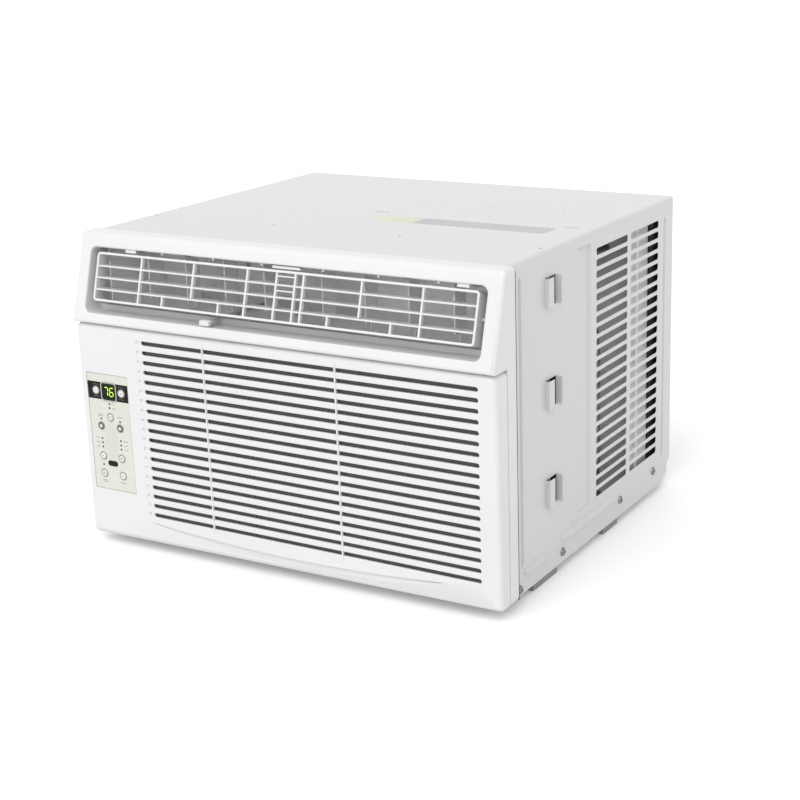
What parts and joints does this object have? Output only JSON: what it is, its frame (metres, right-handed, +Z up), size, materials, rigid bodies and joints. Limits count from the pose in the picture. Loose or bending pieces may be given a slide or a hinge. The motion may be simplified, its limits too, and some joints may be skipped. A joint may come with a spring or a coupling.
{
  "type": "window air conditioner",
  "caption": "Window air conditioner: louvred steel cabinet, tilting intake panel and outlet grid, swinging vanes, push-button controls, fan line and cooling circuit inside.",
  "frame": {"origin": "centre of the overall footprint, on the surface the feet stand on", "axes": "+Z up, the intake grille faces -Y, +X to the right of someone facing the grille"},
  "size_m": [0.5462, 0.4826, 0.3708],
  "materials": {
    "white_plastic": "moulded, semi-gloss",
    "grey_plastic": "moulded, matte",
    "painted_steel": "powder coated, satin",
    "galvanised": "zinc plated",
    "plated_screw": "zinc plated",
    "coil_fins": "pressed fins",
    "can_aluminium": "drawn can",
    "copper": null,
    "black_paint": "satin black",
    "black_plastic": "moulded, matte",
    "cream_overlay": "printed overlay, satin",
    "display_window": "clear dark window",
    "board_green": "solder mask",
    "rubber": "moulded grommet"
  },
  "bodies": {
    "cabinet": {"accumulator": "black_paint", "base_pan": "galvanised", "blower_scroll": "grey_plastic", "bulkhead": "galvanised", "cabinet_shell": "painted_steel", "capacitor": "can_aluminium", "circuit_board": "board_green", "compressor": "black_paint", "compressor_foot_1": "rubber", "compressor_foot_2": "rubber", "compressor_foot_3": "rubber", "condenser_coil": "coil_fins", "condenser_shroud": "grey_plastic", "control_plate": "cream_overlay", "cord_gland": "black_plastic", "discharge_tube": "copper", "display_lens": "display_window", "evaporator_coil": "coil_fins", "fan_motor": "painted_steel", "fascia": "white_plastic", "liquid_line": "copper", "motor_bracket": "galvanised", "outlet_duct": "grey_plastic", "receiver_lens": "display_window", "screw_left_1": "plated_screw", "screw_left_2": "plated_screw", "screw_left_3": "plated_screw", "screw_left_4": "plated_screw", "screw_right_1": "plated_screw", "screw_right_2": "plated_screw", "screw_right_3": "plated_screw", "screw_right_4": "plated_screw", "suction_tube": "copper"},
    "intake_panel": {"front_panel": "white_plastic", "air_filter": "grey_plastic"},
    "grid": {"outlet_grid": "white_plastic"},
    "lever": {"vent_lever": "white_plastic"},
    "door": {"vent_door": "grey_plastic"},
    "fan_line": {"motor_shaft": "galvanised", "blower_wheel": "black_plastic", "condenser_fan": "black_plastic"},
    "link_left": {"vane_link_left": "grey_plastic"},
    "link_right": {"vane_link_right": "grey_plastic"},
    "vane_left_1": {"vane_left_1": "grey_plastic"},
    "vane_left_2": {"vane_left_2": "grey_plastic"},
    "vane_left_3": {"vane_left_3": "grey_plastic"},
    "vane_left_4": {"vane_left_4": "grey_plastic"},
    "vane_right_1": {"vane_right_1": "grey_plastic"},
    "vane_right_2": {"vane_right_2": "grey_plastic"},
    "vane_right_3": {"vane_right_3": "grey_plastic"},
    "vane_right_4": {"vane_right_4": "grey_plastic"},
    "button_auto": {"button_auto": "white_plastic"},
    "button_down": {"button_down": "white_plastic"},
    "button_fan": {"button_fan": "white_plastic"},
    "button_filter": {"button_filter": "white_plastic"},
    "button_mode": {"button_mode": "white_plastic"},
    "button_power": {"button_power": "white_plastic"},
    "button_sleep": {"button_sleep": "white_plastic"},
    "button_timer": {"button_timer": "white_plastic"},
    "button_up": {"button_up": "white_plastic"}
  },
  "joints": [
    {"name": "panel_tilt", "type": "hinge", "parent": "cabinet", "child": "intake_panel", "pos_m": [0, -0.2128, 0.014], "axis": [1, 0, 0], "range_deg": [0, 16]},
    {"name": "grid_tilt", "type": "hinge", "parent": "cabinet", "child": "grid", "pos_m": [0, -0.21615, 0.32], "axis": [1, 0, 0], "range_deg": [-12, 12]},
    {"name": "lever_pull", "type": "slide", "parent": "cabinet", "child": "lever", "axis": [0, -1, 0], "range_m": [0, 0.015]},
    {"name": "door_open", "type": "hinge", "parent": "cabinet", "child": "door", "pos_m": [-0.09, -0.0972, 0.298], "axis": [1, 0, 0], "range_deg": [0, 40.1]},
    {"name": "fan_spin", "type": "hinge", "parent": "cabinet", "child": "fan_line", "pos_m": [-0.07, 0, 0.18], "axis": [0, 1, 0], "continuous": true},
    {"name": "swing_left_1", "type": "hinge", "parent": "cabinet", "child": "vane_left_1", "pos_m": [-0.038, -0.175, 0.32], "axis": [0, 0, 1], "range_deg": [-30.1, 30.1]},
    {"name": "swing_left_2", "type": "hinge", "parent": "cabinet", "child": "vane_left_2", "pos_m": [-0.092, -0.175, 0.32], "axis": [0, 0, 1], "range_deg": [-30.1, 30.1]},
    {"name": "swing_left_3", "type": "hinge", "parent": "cabinet", "child": "vane_left_3", "pos_m": [-0.146, -0.175, 0.32], "axis": [0, 0, 1], "range_deg": [-30.1, 30.1]},
    {"name": "swing_left_4", "type": "hinge", "parent": "cabinet", "child": "vane_left_4", "pos_m": [-0.2, -0.175, 0.32], "axis": [0, 0, 1], "range_deg": [-30.1, 30.1]},
    {"name": "link_slide_left", "type": "slide", "parent": "cabinet", "child": "link_left", "axis": [1, 0, 0], "range_m": [-0.00418, 0.00418]},
    {"name": "swing_right_1", "type": "hinge", "parent": "cabinet", "child": "vane_right_1", "pos_m": [0.038, -0.175, 0.32], "axis": [0, 0, 1], "range_deg": [-30.1, 30.1]},
    {"name": "swing_right_2", "type": "hinge", "parent": "cabinet", "child": "vane_right_2", "pos_m": [0.092, -0.175, 0.32], "axis": [0, 0, 1], "range_deg": [-30.1, 30.1]},
    {"name": "swing_right_3", "type": "hinge", "parent": "cabinet", "child": "vane_right_3", "pos_m": [0.146, -0.175, 0.32], "axis": [0, 0, 1], "range_deg": [-30.1, 30.1]},
    {"name": "swing_right_4", "type": "hinge", "parent": "cabinet", "child": "vane_right_4", "pos_m": [0.2, -0.175, 0.32], "axis": [0, 0, 1], "range_deg": [-30.1, 30.1]},
    {"name": "link_slide_right", "type": "slide", "parent": "cabinet", "child": "link_right", "axis": [1, 0, 0], "range_m": [-0.00418, 0.00418]},
    {"name": "press_auto", "type": "slide", "parent": "cabinet", "child": "button_auto", "axis": [0, 1, 0], "range_m": [0, 0.0008], "stiffness_N_per_m": 300, "springref_m": -0.003},
    {"name": "press_down", "type": "slide", "parent": "cabinet", "child": "button_down", "axis": [0, 1, 0], "range_m": [0, 0.0008], "stiffness_N_per_m": 300, "springref_m": -0.003},
    {"name": "press_fan", "type": "slide", "parent": "cabinet", "child": "button_fan", "axis": [0, 1, 0], "range_m": [0, 0.0008], "stiffness_N_per_m": 300, "springref_m": -0.003},
    {"name": "press_filter", "type": "slide", "parent": "cabinet", "child": "button_filter", "axis": [0, 1, 0], "range_m": [0, 0.0008], "stiffness_N_per_m": 300, "springref_m": -0.003},
    {"name": "press_mode", "type": "slide", "parent": "cabinet", "child": "button_mode", "axis": [0, 1, 0], "range_m": [0, 0.0008], "stiffness_N_per_m": 300, "springref_m": -0.003},
    {"name": "press_power", "type": "slide", "parent": "cabinet", "child": "button_power", "axis": [0, 1, 0], "range_m": [0, 0.0008], "stiffness_N_per_m": 300, "springref_m": -0.003},
    {"name": "press_sleep", "type": "slide", "parent": "cabinet", "child": "button_sleep", "axis": [0, 1, 0], "range_m": [0, 0.0008], "stiffness_N_per_m": 300, "springref_m": -0.003},
    {"name": "press_timer", "type": "slide", "parent": "cabinet", "child": "button_timer", "axis": [0, 1, 0], "range_m": [0, 0.0008], "stiffness_N_per_m": 300, "springref_m": -0.003},
    {"name": "press_up", "type": "slide", "parent": "cabinet", "child": "button_up", "axis": [0, 1, 0], "range_m": [0, 0.0008], "stiffness_N_per_m": 300, "springref_m": -0.003}
  ],
  "couplings": [
    {"joint": "door_open", "follows": "lever_pull", "rad_per_m": 46.5},
    {"joint": "swing_left_1", "follows": "link_slide_left", "rad_per_m": -125},
    {"joint": "swing_left_2", "follows": "link_slide_left", "rad_per_m": -125},
    {"joint": "swing_left_3", "follows": "link_slide_left", "rad_per_m": -125},
    {"joint": "swing_left_4", "follows": "link_slide_left", "rad_per_m": -125},
    {"joint": "swing_right_1", "follows": "link_slide_right", "rad_per_m": -125},
    {"joint": "swing_right_2", "follows": "link_slide_right", "rad_per_m": -125},
    {"joint": "swing_right_3", "follows": "link_slide_right", "rad_per_m": -125},
    {"joint": "swing_right_4", "follows": "link_slide_right", "rad_per_m": -125}
  ]
}
